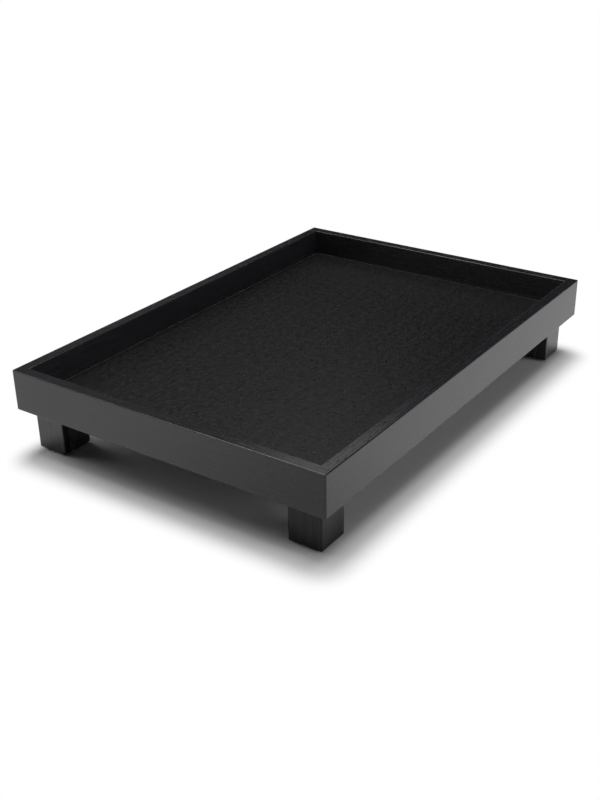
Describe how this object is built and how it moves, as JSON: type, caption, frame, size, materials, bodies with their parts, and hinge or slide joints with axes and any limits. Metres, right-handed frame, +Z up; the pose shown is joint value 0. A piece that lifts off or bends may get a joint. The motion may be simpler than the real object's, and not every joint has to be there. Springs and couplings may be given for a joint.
{
  "type": "tray",
  "caption": "Low rectangular wooden tray with mitred rails, a sunken floor and square block feet, stained black, for carrying and presenting things on a table.",
  "frame": {"origin": "under the middle of the tray, on the surface that its felt pads rest on", "axes": "+X along the length, to the right; +Y across the width, to the back; +Z up"},
  "size_m": [0.43, 0.3, 0.072],
  "materials": {
    "rim_wood": "black stain under satin lacquer",
    "deck_veneer": "black stain under satin lacquer",
    "foot_wood": "black stain under satin lacquer",
    "base_plywood": "black stain, matte underside",
    "key_beech": "bare wood",
    "screw_steel": "zinc plated",
    "pad_felt": "pressed wool felt"
  },
  "bodies": {
    "root": {"front_rail": "rim_wood", "back_rail": "rim_wood", "left_rail": "rim_wood", "right_rail": "rim_wood", "mitre_key_front_left": "key_beech", "mitre_key_front_right": "key_beech", "mitre_key_back_left": "key_beech", "mitre_key_back_right": "key_beech", "base_panel": "base_plywood", "deck_panel": "deck_veneer", "foot_front_left": "foot_wood", "foot_front_right": "foot_wood", "foot_back_left": "foot_wood", "foot_back_right": "foot_wood", "foot_screws": "screw_steel", "felt_pad_front_left": "pad_felt", "felt_pad_front_right": "pad_felt", "felt_pad_back_left": "pad_felt", "felt_pad_back_right": "pad_felt"}
  },
  "joints": []
}
